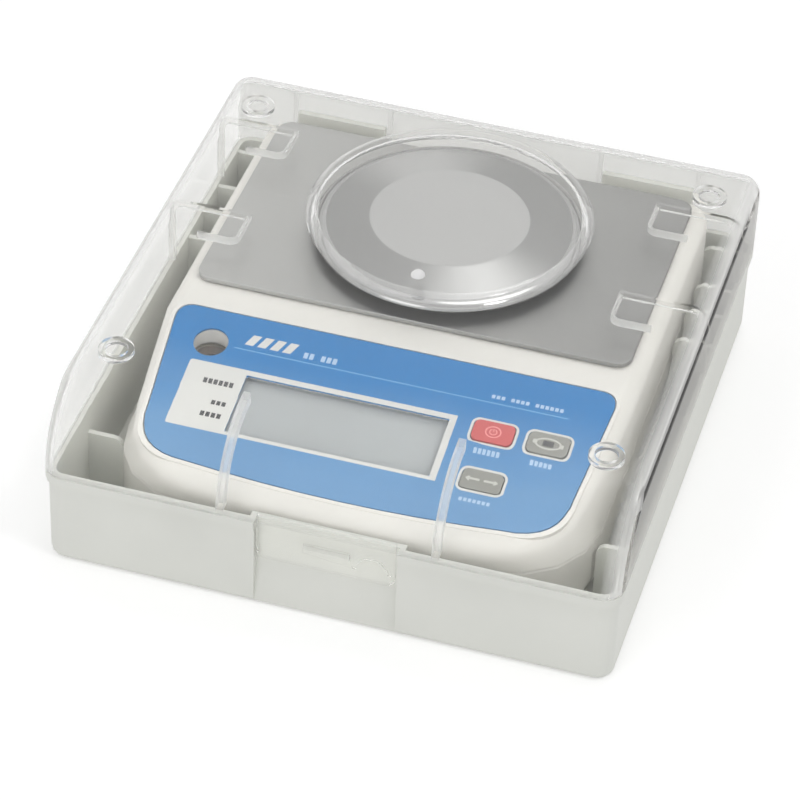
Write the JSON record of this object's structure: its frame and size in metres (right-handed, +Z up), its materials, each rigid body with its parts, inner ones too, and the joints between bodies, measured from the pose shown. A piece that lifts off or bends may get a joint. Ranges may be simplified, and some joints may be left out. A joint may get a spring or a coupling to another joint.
{
  "type": "precision balance",
  "caption": "Compact electronic precision balance with a round steel pan and a sloping key panel, lying in a shallow tray under a clear hinged lid.",
  "frame": {"origin": "on the surface that the closed case stands on, under the middle of the tray", "axes": "+Z up, -Y towards the user, who faces the key panel, +X to the user's right"},
  "size_m": [0.1614, 0.1738, 0.0584],
  "materials": {
    "case_plastic": "satin",
    "clear_lid": "clear",
    "pin_steel": "bright",
    "housing_plastic": "satin",
    "screw_steel": "bright",
    "overlay_film": "satin",
    "clear_window": "clear",
    "display_glass": "gloss",
    "holder_plastic": "matte",
    "red_key": "satin",
    "grey_key": "satin",
    "dark_plastic": "matte",
    "circuit_board": "gloss",
    "level_plastic": "satin",
    "level_liquid": "clear",
    "steel_sheet": "brushed",
    "cell_alloy": "satin",
    "cell_can": "satin",
    "contact_metal": "bright",
    "foot_rubber": "matte"
  },
  "bodies": {
    "case": {"case_tray": "case_plastic", "hinge_pin_left": "pin_steel", "hinge_pin_right": "pin_steel", "upper_housing": "housing_plastic", "lower_housing": "housing_plastic", "housing_screw_rear_left": "screw_steel", "housing_screw_rear_right": "screw_steel", "housing_screw_front_left": "screw_steel", "housing_screw_front_right": "screw_steel", "overload_stop": "screw_steel", "panel_overlay": "overlay_film", "display_lens": "clear_window", "level_glass": "clear_window", "display_module": "display_glass", "display_holder": "holder_plastic", "power_switch": "dark_plastic", "units_switch": "dark_plastic", "zero_switch": "dark_plastic", "adapter_socket": "dark_plastic", "display_board": "circuit_board", "main_board": "circuit_board", "level_cup": "level_plastic", "level_fluid": "level_liquid", "deck_plate": "steel_sheet", "load_cell": "cell_alloy", "cell_mount": "cell_alloy", "dry_cell_front_left": "cell_can", "dry_cell_front_right": "cell_can", "dry_cell_rear_left": "cell_can", "dry_cell_rear_right": "cell_can", "contact_right_front": "contact_metal", "contact_right_rear": "contact_metal", "contact_left_link": "contact_metal"},
    "lid": {"case_lid": "clear_lid"},
    "pan": {"weighing_pan": "steel_sheet", "pan_support": "cell_alloy", "pan_post": "cell_alloy", "load_bracket": "cell_alloy"},
    "power_button": {"power_key": "red_key"},
    "units_button": {"units_key": "grey_key"},
    "zero_button": {"zero_key": "grey_key"},
    "battery_door": {"battery_cover": "housing_plastic"},
    "foot_rear_left": {"levelling_foot_rear_left": "dark_plastic", "foot_pad_rear_left": "foot_rubber"},
    "foot_rear_right": {"levelling_foot_rear_right": "dark_plastic", "foot_pad_rear_right": "foot_rubber"},
    "foot_front_left": {"levelling_foot_front_left": "dark_plastic", "foot_pad_front_left": "foot_rubber"},
    "foot_front_right": {"levelling_foot_front_right": "dark_plastic", "foot_pad_front_right": "foot_rubber"}
  },
  "joints": [
    {"name": "lid_hinge", "type": "hinge", "parent": "case", "child": "lid", "pos_m": [0, 0.08705, 0.02995], "axis": [-1, 0, 0], "range_deg": [0, 100]},
    {"name": "pan_deflection", "type": "slide", "parent": "case", "child": "pan", "axis": [0, 0, 1], "range_m": [-0.00025, 0], "stiffness_N_per_m": 6500, "springref_m": 0.0001},
    {"name": "power_press", "type": "slide", "parent": "case", "child": "power_button", "axis": [0, 0.225, -0.9744], "range_m": [0, 0.0005], "stiffness_N_per_m": 2000},
    {"name": "units_press", "type": "slide", "parent": "case", "child": "units_button", "axis": [0, 0.225, -0.9744], "range_m": [0, 0.0005], "stiffness_N_per_m": 2000},
    {"name": "zero_press", "type": "slide", "parent": "case", "child": "zero_button", "axis": [0, 0.225, -0.9744], "range_m": [0, 0.0005], "stiffness_N_per_m": 2000},
    {"name": "battery_door_drop", "type": "slide", "parent": "case", "child": "battery_door", "axis": [0, 0, -1], "range_m": [0, 0.004]},
    {"name": "foot_rear_left_turn", "type": "hinge", "parent": "case", "child": "foot_rear_left", "pos_m": [-0.056, 0.0655, 0.005], "axis": [0, 0, 1], "range_deg": [-360, 360]},
    {"name": "foot_rear_right_turn", "type": "hinge", "parent": "case", "child": "foot_rear_right", "pos_m": [0.056, 0.0655, 0.005], "axis": [0, 0, 1], "range_deg": [-360, 360]},
    {"name": "foot_front_left_turn", "type": "hinge", "parent": "case", "child": "foot_front_left", "pos_m": [-0.051, -0.0585, 0.005], "axis": [0, 0, 1], "range_deg": [-360, 360]},
    {"name": "foot_front_right_turn", "type": "hinge", "parent": "case", "child": "foot_front_right", "pos_m": [0.051, -0.0585, 0.005], "axis": [0, 0, 1], "range_deg": [-360, 360]}
  ]
}
